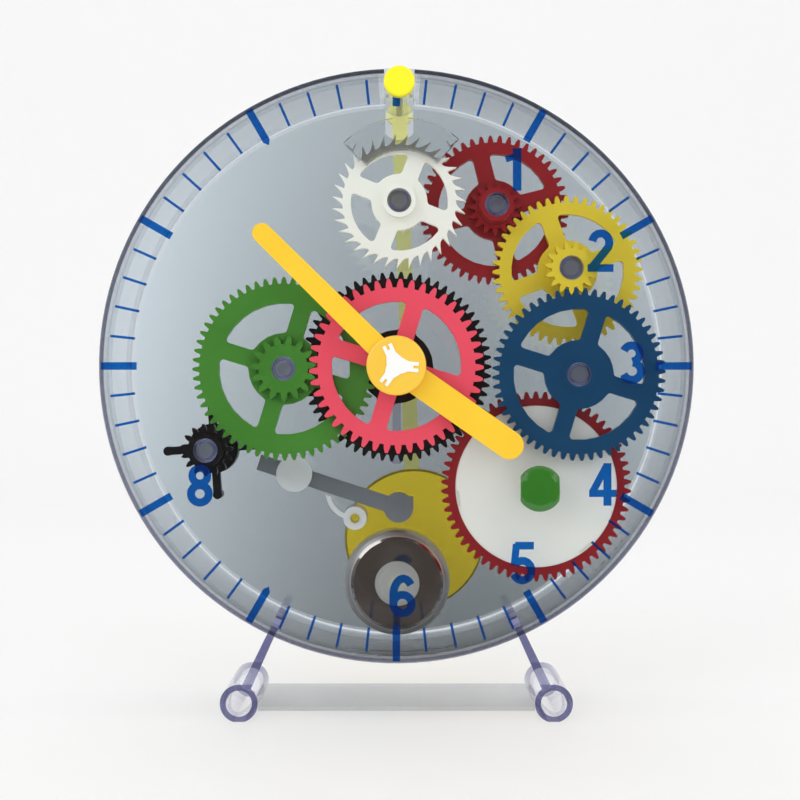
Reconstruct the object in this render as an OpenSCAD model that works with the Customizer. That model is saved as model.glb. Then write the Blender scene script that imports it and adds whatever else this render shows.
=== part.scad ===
// Geared teaching clock: a round clear case on two slotted-in feet, an open
// going train of coloured moulded wheels, an anchor with a pendulum behind the
// case, and a quarter-hour striker with a small steel bell.
// X runs to the right, Z up, and Y to the back. Z = 0 is the table.
// Depths are counted backwards from the front face of the dial plate, and
// front-view places are counted from the centre of the hands.

/* [Case] */
// Space between the barrel's teeth and the wall of the case
rim_space = 2; // [1.5:0.1:12]
// Thickness of the round wall of the case
band_t = 2; // [1.6:0.1:3]
// Depth of the case from the dial's face to the back face
case_depth = 44; // [43:1:60]
// Thickness of the dial plate
plate_t = 2.2; // [1.6:0.1:2.4]
// Thickness of the back plate
back_t = 2.2; // [1.6:0.1:4]
// Height of the lip that locates each plate inside the wall
lip_h = 2.5; // [1.5:0.1:3]
// Thickness of that lip
lip_t = 1.3; // [0.8:0.1:2]
// Height of the hands' centre above the table
hub_z = 117.2; // [117:0.2:130]

/* [Going train] */
// Module of the teeth
tooth_m = 1; // [0.98:0.01:1.02]
// Module of the two upper pairs, yellow to red and red to escape
upper_m = 1.03; // [1.01:0.005:1.05]
// Module of the hour pair, green pinion to pink wheel
hour_m = 1.25; // [1.23:0.01:1.27]
// Play between meshing flanks, taken from each wheel's tooth
tooth_play = 0.12; // [0.08:0.02:0.2]
// Thickness of a wheel, along its axis
wheel_t = 2.6; // [2:0.1:2.8]
// Gap between the wheels of neighbouring layers
layer_gap = 0.6; // [0.4:0.1:0.8]
// Gap between the dial plate and the first layer
first_gap = 0.8; // [0.6:0.1:1]
// Radius of the moulded posts that the wheels turn on
post_r = 4; // [3.6:0.1:4.1]
// Wall of a hub tube around its post
hub_wall = 1.5; // [1:0.1:1.8]
// Wall of the hollow posts
post_wall = 1.4; // [1:0.1:2]
// Radial play of a wheel on its post
run_play = 0.05; // [0.02:0.01:0.1]
// Depth of a wheel's rim under its teeth
rim_w = 5; // [3:0.1:6]
// Depth of the green wheel's rim
green_rim = 6.8; // [4:0.1:8]
// Depth of the rims of the yellow and red wheels
upper_rim = 4.3; // [3:0.1:6]
// Width of a wheel's spokes
spoke_w = 5.8; // [4:0.2:7]
// Corner radius of the windows between spokes
window_round = 1.2; // [0.6:0.1:2]

/* [Hands] */
// Reach of the minute hand
minute_reach = 64.5; // [50:0.5:80]
// Reach of the hour hand
hour_reach = 50; // [35:0.5:60]
// Width of the minute hand at its tip
minute_w = 6.4; // [4:0.2:8]
// Width of the hour hand at its tip
hour_w = 9.4; // [6:0.2:11]
// Thickness of a hand
hand_t = 1.4; // [1:0.1:2]
// Angle of the minute hand, counter-clockwise from twelve
minute_at = 45.4; // [0:0.1:360]
// Angle of the hour hand, counter-clockwise from twelve
hour_at = -125; // [-180:0.5:180]
// Radius of the cap over the hands
cap_r = 9.7; // [8:0.1:12]
// Radius of the steel centre arbor
arbor_r = 1.5; // [1.2:0.1:1.8]
// Radius of the hour wheel's pipe
pipe_r = 4; // [3.4:0.1:4.4]

/* [Barrel] */
// Least wall of the toothed ring, from its bore to the roots of its teeth
ring_wall = 2.5; // [1.5:0.1:6]
// Depth of the spring drum
drum_depth = 17; // [12:0.5:20]
// Wall of the spring drum
drum_wall = 1.8; // [1.2:0.1:2.5]
// Radius of the winding arbor
wind_r = 2.5; // [2:0.1:3]
// Radius of the winding knob
knob_r = 7.5; // [6:0.1:9]
// Width of the winding knob across its flats
knob_flats = 12.7; // [10:0.1:14]
// Height of the winding knob
knob_h = 3.8; // [3:0.1:6]
// Turns of the mainspring
spring_turns = 7; // [4:1:9]
// Thickness of the mainspring's strip
strip_t = 0.6; // [0.4:0.1:0.8]

/* [Escapement] */
// Teeth of the escape wheel
escape_teeth = 35; // [30:1:40]
// Radius of the escape wheel over its tips
escape_r = 22.4; // [21:0.1:23]
// Height of the anchor's arbor above the escape wheel's centre
anchor_rise = 38.2; // [37:0.1:39]
// Largest swing of the pendulum to either side of plumb
swing = 3; // [1:0.5:4]
// Lean of the pendulum as photographed, its bob to the right
lean = 2; // [-3:0.5:3]
// Clearance of the pallets over the tips at full swing
pallet_gap = 0.35; // [0.3:0.05:1]
// Length of the pendulum from its arbor to the bob's centre
pendulum_l = 155; // [120:1:158]
// Width of the pendulum rod
rod_w = 5.5; // [4:0.1:8]
// Thickness of the pendulum rod
rod_t = 2.4; // [1.6:0.1:3]
// Radius of the bob
bob_r = 25.3; // [18:0.1:28]
// Thickness of the bob
bob_t = 4.4; // [4:0.1:8]
// Radius of the anchor's steel arbor
swing_r = 1.2; // [1:0.05:1.4]
// Angle of each pallet from the top of the escape wheel
pallet_at = 41; // [38:0.5:50]
// Radius of the yellow knob on the anchor's arbor
start_r = 5.1; // [4:0.1:6]

/* [Striker] */
// Radius of the star wheel's pins from its axis
pin_at_r = 16.2; // [14:0.1:17]
// Radius of a striking pin
pin_r = 1.6; // [1:0.1:1.8]
// Gap in depth between the striking pins and the hammer lever
pin_short = 0.3; // [0.3:0.1:1]
// Width of the hammer lever
lever_w = 5.5; // [4:0.1:6]
// Thickness of the hammer lever
lever_t = 2.6; // [2:0.1:3]
// Outer radius of the bell
bell_r = 18.8; // [14:0.1:19]
// Height of the bell
bell_h = 8; // [5:0.5:10]
// Thickness of the bell's metal
bell_t = 1.2; // [0.8:0.1:2]

/* [Stand] */
// Distance of a foot tube's centre from the middle plane
foot_x = 51.9; // [45:0.1:60]
// Outer radius of a foot tube
foot_r = 6.25; // [5:0.05:8]
// Depth of the flat under a foot tube
foot_flat = 0.25; // [0.1:0.05:0.5]
// Wall of a foot tube
foot_wall = 1.95; // [1.2:0.05:2.5]
// Length of the feet, front to back
foot_depth = 36; // [33:1:42]
// Thickness of a leg at the case
leg_t = 2.4; // [2:0.1:3]
// Length of the tongue inside the case
tongue_l = 7; // [4:0.5:8]
// Height of the cross-bar
bar_h = 8; // [5:0.5:10]
// Depth of the cross-bar
bar_depth = 6; // [4:0.5:12]

/* [Hidden] */
$fn = 64;
seat = 0.05;   // play between pieces that seat on each other
press = 0.01;  // play between pieces pressed together

// Tooth counts
barrel_z = 62;
minute_z = 62;
blue_pinion_z = 18;
blue_z = 56;
yellow_z = 48;
red_z = 48;
green_z = 60;
hour_z = 45;
pinion_z = 15;
shift = 0.3;   // tooth correction of the small pinions, taken back on their wheels

// Layers of the train, counted from the dial
function layer_at(i) = plate_t + first_gap + (i - 1) * (wheel_t + layer_gap);
function layer_end(i) = layer_at(i) + wheel_t;
hub_front = plate_t + first_gap * 0.6;
hub_back = layer_end(5) + 1.6;
post_top = layer_at(3) - 1;
front_post_end = plate_t + 3.5;
bore_r = post_r + run_play;
hub_r = bore_r + hub_wall;
floor_at = case_depth - back_t;

// Places of the axes in the front view, from the centre of the hands
function toward(p, d, a) = [p.x + d * cos(a), p.y + d * sin(a)];
function bearing(a, b) = atan2(b.y - a.y, b.x - a.x);
hub_at = [0, 0];
barrel_at = toward(hub_at, tooth_m * (minute_z + barrel_z) / 2, -40.6);
blue_at = toward(barrel_at, tooth_m * (barrel_z + blue_pinion_z) / 2, 70.2);
yellow_at = toward(blue_at, tooth_m * (blue_z + pinion_z) / 2, 94.1);
red_at = toward(yellow_at, upper_m * (yellow_z + pinion_z) / 2, 139.6);
escape_at = toward(red_at, upper_m * (red_z + pinion_z) / 2, 177.7);
green_at = toward(hub_at, tooth_m * (green_z + pinion_z) / 2, 181.2);
star_at = toward(green_at, tooth_m * (green_z + pinion_z) / 2, -133.6);
anchor_at = [escape_at.x, escape_at.y + anchor_rise];
inner_r = norm(barrel_at) + tooth_m * (barrel_z / 2 + 1) + rim_space;
case_r = inner_r + band_t;
wheel_posts = [green_at, star_at, blue_at, yellow_at, red_at, escape_at];

// Turn of each wheel that puts it in mesh with the one before it
function in_mesh(a, turn_a, za, b, zb) =
    let (way = bearing(a, b))
    way + 180 - (0.5 - (way - turn_a) * za / 360) * 360 / zb;
minute_turn = 0;
barrel_turn = in_mesh(hub_at, minute_turn, minute_z, barrel_at, barrel_z);
blue_pinion_turn = in_mesh(barrel_at, barrel_turn, barrel_z, blue_at, blue_pinion_z);
blue_turn = 2;
yellow_pinion_turn = in_mesh(blue_at, blue_turn, blue_z, yellow_at, pinion_z);
yellow_turn = 1;
red_pinion_turn = in_mesh(yellow_at, yellow_turn, yellow_z, red_at, pinion_z);
red_turn = 3;
escape_pinion_turn = in_mesh(red_at, red_turn, red_z, escape_at, pinion_z);
minute_pinion_turn = 5;
green_turn = in_mesh(hub_at, minute_pinion_turn, pinion_z, green_at, green_z);
green_pinion_turn = 7;
hour_turn = in_mesh(green_at, green_pinion_turn, pinion_z, hub_at, hour_z);
star_pinion_turn = in_mesh(green_at, green_turn, green_z, star_at, pinion_z);

// Hands, in front of the dial
hour_hand_back = -0.3;
hour_hand_front = hour_hand_back - hand_t;
knob_back = -0.4;
knob_front = knob_back - knob_h;
knob_grip = knob_back - 0.65 * knob_h;
minute_hand_back = knob_front - 0.4;
minute_hand_front = minute_hand_back - hand_t;
collar_r = 3.6;
cap_h = 1.6;
spider_h = 0.3;
spider_turn = -5;
cap_front = minute_hand_front - cap_h;

// Barrel
ring_bore = tooth_m * (barrel_z / 2 - 1.25) - ring_wall;
drum_r = ring_bore - seat;
drum_front = layer_at(3) + 0.3;
drum_back = drum_front + drum_depth;
ratchet_front = drum_back + 0.8;
ratchet_t = 2.4;
ratchet_z = 16;
ratchet_r = 9;

// Anchor and pendulum
arbor_top = -2.6;
rod_front = case_depth + 1.9;
rod_back = rod_front + rod_t;
bob_front = rod_front - (bob_t - rod_t) / 2;
bob_back = bob_front + bob_t;

// Striker
lever_front = 29.4;
lever_back = lever_front + lever_t;
star_front = 23.6;
star_t = 2.4;
lever_at = [-36, -37.2];
lever_slope = -18;
head_at = [0.7, -49.2];
head_r = 5.2;
bell_at = [0.2, -75.6];
bell_front = 28;
peg_at = [-14.7, -52.9];
peg_r = 1.6;
lever_pin_r = 2;
bell_post_r = 3;

// Stand
foot_at = [foot_x, foot_r - foot_flat - hub_z];
leg_angle = bearing(hub_at, foot_at);
leg_far = norm(foot_at) - foot_r + foot_wall / 2;
tongue_front = 6;
tongue_back = foot_depth - 4;
bar_front = (foot_depth - bar_depth) / 2;

// The front view's middle depth lies on Y = 0
mid_depth = (cap_front - spider_h + bob_back) / 2;
function depth_y(d) = d - mid_depth;

// Colours
clear = [0.80, 0.84, 0.88, 0.45];
tinted = [0.55, 0.55, 0.78, 0.7];
ivory = [0.90, 0.91, 0.84];
black = [0.08, 0.08, 0.09];
green = [0.24, 0.52, 0.18];
blue = [0.00, 0.29, 0.45];
yellow = [0.84, 0.76, 0.24];
red = [0.59, 0.12, 0.16];
pink = [1.00, 0.31, 0.39];
amber = [1.00, 0.80, 0.20];
grey = [0.47, 0.49, 0.51];
steel = [0.72, 0.72, 0.74];

// ---- Drawing aids ----

// A front-view outline, as thick as the space between two depths
module slab(front, back) {
    translate([0, depth_y(back), hub_z]) rotate([90, 0, 0])
        linear_extrude(back - front) children();
}

// A round bar along the depth, between two depths
module bar(p, r, front, back) {
    translate([p.x, depth_y(front), hub_z + p.y]) rotate([-90, 0, 0])
        cylinder(r = r, h = back - front);
}

// A profile of radius and depth, turned about the axis at p
module turned(p) {
    translate([p.x, depth_y(0), hub_z + p.y]) rotate([-90, 0, 0])
        rotate_extrude() children();
}

// ---- Teeth and wheels ----

// Angle by which an involute has turned away at radius r, in degrees
function involute(rb, r) =
    let (t = sqrt(max(0, pow(r / rb, 2) - 1))) t * 180 / PI - atan(t);

// Toothed outline of z teeth of module m; x is the tooth correction
module gear_outline(z, m, x = 0) {
    pressure = 20;
    steps = 3;
    rp = m * z / 2;
    rb = rp * cos(pressure);
    ra = rp + m * (1 + x);
    rf = rp - m * (1.25 - x);
    r0 = max(rb, rf);
    width = m * (PI / 2 + 2 * x * tan(pressure)) - tooth_play;
    at_pitch = width / (2 * rp) * 180 / PI + involute(rb, rp);
    flank = [for (i = [0:steps]) let (r = r0 + (ra - r0) * i / steps)
        [r, at_pitch - involute(rb, r)]];
    side = concat(rf < rb ? [[rf, flank[0][1]]] : [], flank);
    n = len(side) - 1;
    polygon([for (i = [0:z - 1], k = [0:2 * n + 1])
        let (
            p = k <= n ? side[k] : side[2 * n + 1 - k],
            a = i * 360 / z + (k <= n ? -p[1] : p[1])
        )
        [p[0] * cos(a), p[0] * sin(a)]]);
}

// Inner radius of a rim of a given depth under the roots of its teeth
function rim_in(z, m, rim = rim_w) = m * (z / 2 - 1.25) - rim;

// One window between two spokes, the first spoke on the X axis
module window(r_in, r_out, spokes) {
    rc = window_round;
    edge = spoke_w / 2 + rc;
    span = 360 / spokes;
    steps = 3;
    near = [sqrt(pow(r_in + rc, 2) - edge * edge), edge];
    far = [sqrt(pow(r_out - rc, 2) - edge * edge), edge];
    near_a = atan2(near.y, near.x);
    far_a = atan2(far.y, far.x);
    half = concat(
        [for (i = [0:steps]) toward(near, rc, near_a + 180 + (90 - near_a) * i / steps)],
        [for (i = [0:steps]) toward(far, rc, -90 + (90 + far_a) * i / steps)],
        [for (i = [1:steps]) toward([0, 0], r_out, far_a + (span / 2 - far_a) * i / steps)]
    );
    n = len(half) - 1;
    mirrored = [for (i = [1:n]) let (p = half[n - i])
        [p.x * cos(span) + p.y * sin(span), p.x * sin(span) - p.y * cos(span)]];
    inner = [for (i = [1:steps]) toward([0, 0], r_in,
        span - near_a - (span - 2 * near_a) * i / (steps + 1))];
    polygon(concat(half, mirrored, inner));
}

// A spoked wheel's outline: teeth, rim, four spokes and a middle disc
module wheel_outline(z, m, x, turn, disc_r, rim_r, spoke_at) {
    difference() {
        rotate(turn) gear_outline(z, m, x);
        for (k = [0:3]) rotate(spoke_at + 90 * k) window(disc_r, rim_r, 4);
    }
}

module pinion_outline(z, m, x, turn) {
    rotate(turn) gear_outline(z, m, x);
}

// Saw-toothed outline; its hooked tips point clockwise
module saw_outline(z, r_tip, r_root) {
    pitch = 360 / z;
    steps = 4;
    face_lag = 0.22;
    polygon([for (i = [0:z - 1], k = [steps + 1:-1:0])
        let (
            s = k > steps ? 0 : k / steps,
            lag = k > steps ? face_lag : -0.5 + 0.86 * s,
            r = r_root + (r_tip - r_root) * pow(s, 1.7),
            a = (i - lag) * pitch
        )
        [r * cos(a), r * sin(a)]]);
}

// The hub tube of a wheel, bored right through for its two posts
module hub_tube(p, front, back, r = hub_r) {
    bar(p, r, front, back);
}

module hub_bore(p) {
    bar(p, bore_r, 0, case_depth);
}

// ---- Case ----

// Slot for the bracket that carries the anchor, open at the rim
slot_w = 10;
slot_drop = 10.6;
slot_low = anchor_at.y - slot_drop;
slot_round = 6.5;
saddle_w = 14;

// The slot's outline, drawn in by a gap on every side
module slot_outline(gap = 0) {
    round_at = slot_low + slot_round;
    intersection() {
        translate([anchor_at.x - slot_w / 2 + gap, slot_low])
            square([slot_w - 2 * gap, case_r]);
        union() {
            translate([anchor_at.x, round_at]) circle(slot_round - gap);
            translate([anchor_at.x - slot_w, round_at]) square([2 * slot_w, case_r]);
        }
    }
}

module front_post(p) {
    bar(p, post_r, plate_t, front_post_end);
}

module front_plate() {
    lip_r = inner_r - seat;
    chamfer = 0.4;
    color(clear) difference() {
        union() {
            turned(hub_at) polygon([
                [0, 0], [case_r - chamfer, 0], [case_r, chamfer],
                [case_r, plate_t], [0, plate_t]
            ]);
            turned(hub_at) polygon([
                [lip_r - lip_t, plate_t], [lip_r, plate_t],
                [lip_r, plate_t + lip_h - chamfer], [lip_r - chamfer, plate_t + lip_h],
                [lip_r - lip_t, plate_t + lip_h]
            ]);
            for (p = wheel_posts) front_post(p);
        }
        for (p = wheel_posts) bar(p, post_r - post_wall, plate_t / 2, case_depth);
        bar(hub_at, pipe_r + run_play, -1, case_depth);
        bar(barrel_at, wind_r + run_play, -1, case_depth);
        slab(-1, case_depth) slot_outline();
    }
}

// Space that a foot's tongue needs between two depths
module tongue_space(side, front, back) {
    slab(front, back) tongue_outline(side, leg_t / 2 + seat, inner_r - tongue_l - 1);
}

module tongue_outline(side, half, from_r) {
    rotate(side > 0 ? leg_angle : 180 - leg_angle)
        translate([from_r, -half]) square([case_r + 1 - from_r, 2 * half]);
}

module case_band() {
    color(clear) difference() {
        slab(plate_t, floor_at) difference() {
            circle(case_r);
            circle(inner_r);
            translate([anchor_at.x - saddle_w / 2, 0]) square([saddle_w, case_r + 1]);
        }
        for (side = [-1, 1]) tongue_space(side, tongue_front - seat, tongue_back + seat);
    }
}

// A post with a shoulder just behind the hub of the wheel it carries
module rear_post(p, hub_end) {
    shoulder = hub_end + 0.3;
    turned(p) polygon([
        [0, post_top], [post_r - 0.4, post_top], [post_r, post_top + 0.4],
        [post_r, shoulder], [post_r + 1.4, shoulder], [post_r + 1.4, floor_at],
        [0, floor_at]
    ]);
}

module back_plate() {
    lip_r = inner_r - seat;
    chamfer = 0.8;
    rib_w = 3;
    rib_h = 4;
    rib_l = 30;
    color(clear) difference() {
        union() {
            turned(hub_at) polygon([
                [0, floor_at], [case_r, floor_at], [case_r, case_depth - chamfer],
                [case_r - chamfer, case_depth], [0, case_depth]
            ]);
            turned(hub_at) polygon([
                [lip_r - lip_t, floor_at - lip_h], [lip_r, floor_at - lip_h],
                [lip_r, floor_at], [lip_r - lip_t, floor_at]
            ]);
            for (p = concat(wheel_posts, [hub_at]))
                rear_post(p, p == star_at ? star_front + star_t : hub_back);
            // Stiffening rib down the middle, below the hands
            slab(floor_at - rib_h, floor_at)
                translate([-rib_w / 2, -post_r - rib_l]) square([rib_w, rib_l]);
            // Bosses that hold the striker's posts and the barrel's arbor
            for (p = [lever_at, peg_at, bell_at])
                bar(p, 4.4, floor_at - 2.4, floor_at);
            bar(barrel_at, 6, floor_at - 5, floor_at);
            bar(click_at(), 3.2, floor_at - 2.4, floor_at);
        }
        for (p = concat(wheel_posts, [hub_at]))
            bar(p, post_r - post_wall, post_top + 1.2, case_depth + 1);
        bar(barrel_at, wind_r + run_play, floor_at - 8, case_depth + 1);
        bar(lever_at, lever_pin_r + press, floor_at - 3, floor_at + 1);
        bar(peg_at, peg_r + press, floor_at - 3, floor_at + 1);
        bar(bell_at, bell_post_r + press, floor_at - 3, floor_at + 1);
        bar(click_at(), click_pin_r + run_play, floor_at - 3, floor_at + 1);
        slab(floor_at - lip_h - 1, case_depth + 1) slot_outline();
    }
}

// Saddle over the top of the case; its two cheeks carry the anchor's arbor
module top_bracket() {
    gap = seat;
    boss_r = 3.4;
    rib_w = 1.2;
    rib_l = 5;
    rib_h = 8;
    color(clear) difference() {
        union() {
            for (d = [[0, plate_t], [floor_at, case_depth]]) slab(d[0], d[1])
                intersection() {
                    circle(case_r);
                    slot_outline(gap);
                }
            slab(plate_t, floor_at) intersection() {
                difference() {
                    circle(case_r);
                    circle(inner_r);
                }
                translate([anchor_at.x - saddle_w / 2 + gap, 0])
                    square([saddle_w - 2 * gap, case_r + 1]);
            }
            slab(0, case_depth) intersection() {
                difference() {
                    circle(case_r);
                    circle(inner_r);
                }
                slot_outline(gap);
            }
            bar(anchor_at, boss_r, floor_at - 1.5, case_depth - 1);
            // Ribs that tie the cheeks to the bridge
            for (d = [plate_t, floor_at - rib_l]) slab(d, d + rib_l)
                intersection() {
                    circle(inner_r + band_t / 2);
                    for (side = [-1, 1]) translate([
                        anchor_at.x + side * (slot_w - 1.8 * rib_w) / 2 - rib_w / 2,
                        inner_r + band_t - rib_h
                    ]) square([rib_w, rib_h]);
                }
        }
        bar(anchor_at, swing_r + run_play, -1, case_depth + 1);
    }
}

// ---- Stand ----

module foot(side) {
    p = [side * foot_at.x, foot_at.y];
    turn = side > 0 ? leg_angle : 180 - leg_angle;
    color(tinted) difference() {
        union() {
            bar(p, foot_r, 0, foot_depth);
            difference() {
                slab(0, foot_depth) rotate(turn) polygon([
                    [inner_r, -leg_t / 2], [leg_far, -leg_t / 2 - 0.4],
                    [leg_far, leg_t / 2 + 0.4], [inner_r, leg_t / 2]
                ]);
                bar(hub_at, case_r + seat, -1, case_depth);
            }
            slab(tongue_front, tongue_back) rotate(turn)
                translate([inner_r - tongue_l, -leg_t / 2])
                square([tongue_l + band_t + 1, leg_t]);
        }
        bar(p, foot_r - foot_wall, -1, foot_depth + 1);
        slab(-1, foot_depth + 1) translate([p.x - 2 * foot_r, -hub_z - foot_r])
            square([4 * foot_r, foot_r]);
    }
}

module left_foot() {
    foot(-1);
}

module right_foot() {
    foot(1);
}

module foot_bar() {
    half = foot_x - 0.75 * foot_r;
    color(clear) difference() {
        slab(bar_front, bar_front + bar_depth)
            translate([-half, -hub_z]) square([2 * half, bar_h]);
        for (side = [-1, 1])
            bar([side * foot_at.x, foot_at.y], foot_r + seat, -1, foot_depth + 1);
    }
}

// ---- Hands ----

module hand_outline(reach, w_tip, w_hub, hub) {
    end = reach - w_tip / 2;
    circle(hub);
    translate([0, end]) circle(w_tip / 2);
    polygon([[-w_hub / 2, 0], [w_hub / 2, 0], [w_tip / 2, end], [-w_tip / 2, end]]);
}

module minute_hand() {
    color(amber) slab(minute_hand_front, minute_hand_back) difference() {
        rotate(minute_at) hand_outline(minute_reach, minute_w, minute_w + 0.9, cap_r - 1);
        circle(arbor_r + press);
    }
}

module hour_hand() {
    color(amber) slab(hour_hand_front, hour_hand_back) difference() {
        rotate(hour_at) hand_outline(hour_reach, hour_w, hour_w, cap_r - 1);
        circle(pipe_r + press);
    }
}

// Three arms that spread from the middle of the cap, each forked at its tip
module spider_outline() {
    arm_l = 0.75 * cap_r;
    tip_w = 3.3;
    fork_w = 0.9;
    fork_l = 1.7;
    difference() {
        for (k = [0:2]) rotate(spider_turn - 120 * k) polygon([
            [0, -0.95 * tip_w], [0.3 * arm_l, -0.75 * tip_w], [0.55 * arm_l, -tip_w / 2],
            [arm_l, -tip_w / 2], [arm_l, tip_w / 2], [0.55 * arm_l, tip_w / 2],
            [0.3 * arm_l, 0.75 * tip_w], [0, 0.95 * tip_w]
        ]);
        for (k = [0:2]) rotate(spider_turn - 120 * k)
            translate([arm_l - fork_l, -fork_w / 2]) square([fork_l + 1, fork_w]);
    }
}

// Round cap with a raised three-armed spider, pushed on over the minute hand
module hub_cap() {
    edge = 0.7;
    color(amber) difference() {
        union() {
            turned(hub_at) polygon([
                [0, minute_hand_front], [cap_r, minute_hand_front], [cap_r, cap_front + edge],
                [cap_r - edge * 0.3, cap_front + edge * 0.3], [cap_r - edge, cap_front],
                [0, cap_front]
            ]);
            slab(cap_front - spider_h, cap_front) spider_outline();
        }
        bar(hub_at, arbor_r + press, cap_front + 0.5, 1);
    }
}

module centre_arbor() {
    color(steel) bar(hub_at, arbor_r, cap_front + 0.6, post_top - 0.4);
}

// Sleeve that holds the minute hand clear of the winding knob
module hand_collar() {
    color(amber) difference() {
        bar(hub_at, collar_r, minute_hand_back, hour_hand_front - 0.3);
        bar(hub_at, arbor_r + press, minute_hand_back - 1, 0);
    }
}

// ---- Going train ----

module minute_wheel() {
    disc_r = 12.4;
    spoke_at = -17;
    color(black) difference() {
        union() {
            slab(layer_at(3), layer_end(3)) wheel_outline(minute_z, tooth_m, 0,
                minute_turn, disc_r, rim_in(minute_z, tooth_m), spoke_at);
            slab(layer_at(2), layer_at(3))
                pinion_outline(pinion_z, tooth_m, shift, minute_pinion_turn);
            hub_tube(hub_at, layer_end(3), hub_back);
        }
        bar(hub_at, arbor_r + press, layer_at(2) - 1, post_top);
        bar(hub_at, bore_r, post_top - 0.2, case_depth);
    }
}

module hour_wheel() {
    disc_r = 8.6;
    spoke_at = -17;
    color(pink) difference() {
        union() {
            slab(layer_at(1), layer_end(1)) translate(hub_at) wheel_outline(hour_z,
                hour_m, -shift, hour_turn, disc_r, rim_in(hour_z, hour_m), spoke_at);
            bar(hub_at, pipe_r, hour_hand_front, layer_end(1));
        }
        bar(hub_at, arbor_r + run_play, hour_hand_front - 1, case_depth);
    }
}

module green_wheel() {
    disc_r = 12;
    spoke_at = -17;
    color(green) difference() {
        union() {
            slab(layer_at(2), layer_end(2)) translate(green_at) wheel_outline(green_z,
                tooth_m, -shift, green_turn, disc_r, rim_in(green_z, tooth_m, green_rim),
                spoke_at);
            slab(layer_at(1), layer_at(2)) translate(green_at)
                pinion_outline(pinion_z, hour_m, shift, green_pinion_turn);
            hub_tube(green_at, layer_end(2), hub_back, hub_r - 0.6);
        }
        hub_bore(green_at);
    }
}

module blue_wheel() {
    disc_r = 11.5;
    spoke_at = -17;
    color(blue) difference() {
        union() {
            slab(layer_at(1), layer_end(1)) translate(blue_at) wheel_outline(blue_z,
                tooth_m, -shift, blue_turn, disc_r, rim_in(blue_z, tooth_m), spoke_at);
            slab(layer_end(1), layer_end(3)) translate(blue_at)
                pinion_outline(blue_pinion_z, tooth_m, 0, blue_pinion_turn);
            hub_tube(blue_at, hub_front, hub_back);
        }
        hub_bore(blue_at);
    }
}

module yellow_wheel() {
    disc_r = 10.2;
    spoke_at = 20;
    color(yellow) difference() {
        union() {
            slab(layer_at(4), layer_end(4)) translate(yellow_at) wheel_outline(yellow_z,
                upper_m, -shift, yellow_turn, disc_r, rim_in(yellow_z, upper_m, upper_rim),
                spoke_at);
            slab(layer_at(1), layer_at(2)) translate(yellow_at)
                pinion_outline(pinion_z, tooth_m, shift, yellow_pinion_turn);
            hub_tube(yellow_at, layer_at(1), hub_back);
        }
        hub_bore(yellow_at);
    }
}

module red_wheel() {
    disc_r = 10.2;
    spoke_at = 14;
    color(red) difference() {
        union() {
            slab(layer_at(5), layer_end(5)) translate(red_at) wheel_outline(red_z,
                upper_m, -shift, red_turn, disc_r, rim_in(red_z, upper_m, upper_rim),
                spoke_at);
            slab(layer_at(4), layer_at(5)) translate(red_at)
                pinion_outline(pinion_z, upper_m, shift, red_pinion_turn);
            hub_tube(red_at, hub_front, hub_back);
        }
        hub_bore(red_at);
    }
}

module escape_wheel() {
    tooth_h = 3.4;
    rim = 2.7;
    disc_r = 9.4;
    spoke_at = -22;
    rim_r = escape_r - tooth_h - rim;
    color(ivory) difference() {
        union() {
            slab(layer_at(2), layer_end(2)) translate(escape_at) difference() {
                rotate(4) saw_outline(escape_teeth, escape_r, escape_r - tooth_h);
                for (k = [0:3]) rotate(spoke_at + 90 * k) window(disc_r, rim_r, 4);
            }
            slab(layer_at(5), layer_end(5)) translate(escape_at)
                pinion_outline(pinion_z, upper_m, shift, escape_pinion_turn);
            hub_tube(escape_at, hub_front, hub_back);
        }
        hub_bore(escape_at);
    }
}

// ---- Barrel and winding ----

module barrel_gear() {
    color(red) slab(layer_at(3), layer_end(3)) translate(barrel_at) difference() {
        rotate(barrel_turn) gear_outline(barrel_z, tooth_m);
        circle(ring_bore);
    }
}

module barrel_drum() {
    floor_t = 1.6;
    wall_r = drum_r - drum_wall;
    clip_l = 5;
    clip_w = 0.8;
    color(ivory) difference() {
        turned(barrel_at) polygon([
            [0, drum_front], [drum_r, drum_front], [drum_r, drum_back],
            [wall_r, drum_back], [wall_r, drum_front + floor_t], [0, drum_front + floor_t]
        ]);
        bar(barrel_at, wind_r + run_play, 0, case_depth);
        // Three slots beside the snap clips of the toothed ring
        slab(drum_front - 1, drum_front + 0.8) translate(barrel_at)
            for (k = [0:2]) rotate(-51 - 120 * k)
                translate([drum_r - 0.4 - clip_w, -clip_l / 2]) square([clip_w, clip_l]);
    }
}

module barrel_cover() {
    cover_t = 1.6;
    color(ivory) difference() {
        bar(barrel_at, drum_r - drum_wall - seat, drum_back - cover_t, drum_back);
        bar(barrel_at, wind_r + run_play, 0, case_depth);
    }
}

// Flat strip wound outwards from the arbor to the drum's wall
module mainspring() {
    turns = spring_turns;
    steps = 20 * turns;
    r_in = wind_r + 0.4;
    r_out = drum_r - drum_wall - strip_t - seat;
    inside = [for (i = [0:steps]) let (s = i / steps)
        toward([0, 0], r_in + (r_out - r_in) * s, 360 * turns * s)];
    outside = [for (i = [steps:-1:0]) let (s = i / steps)
        toward([0, 0], r_in + strip_t + (r_out - r_in) * s, 360 * turns * s)];
    color(steel) slab(drum_front + 2.2, drum_back - 2.2) translate(barrel_at)
        polygon(concat(inside, outside));
}

module winding_arbor() {
    color(steel) bar(barrel_at, wind_r, knob_grip, case_depth);
}

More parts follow.
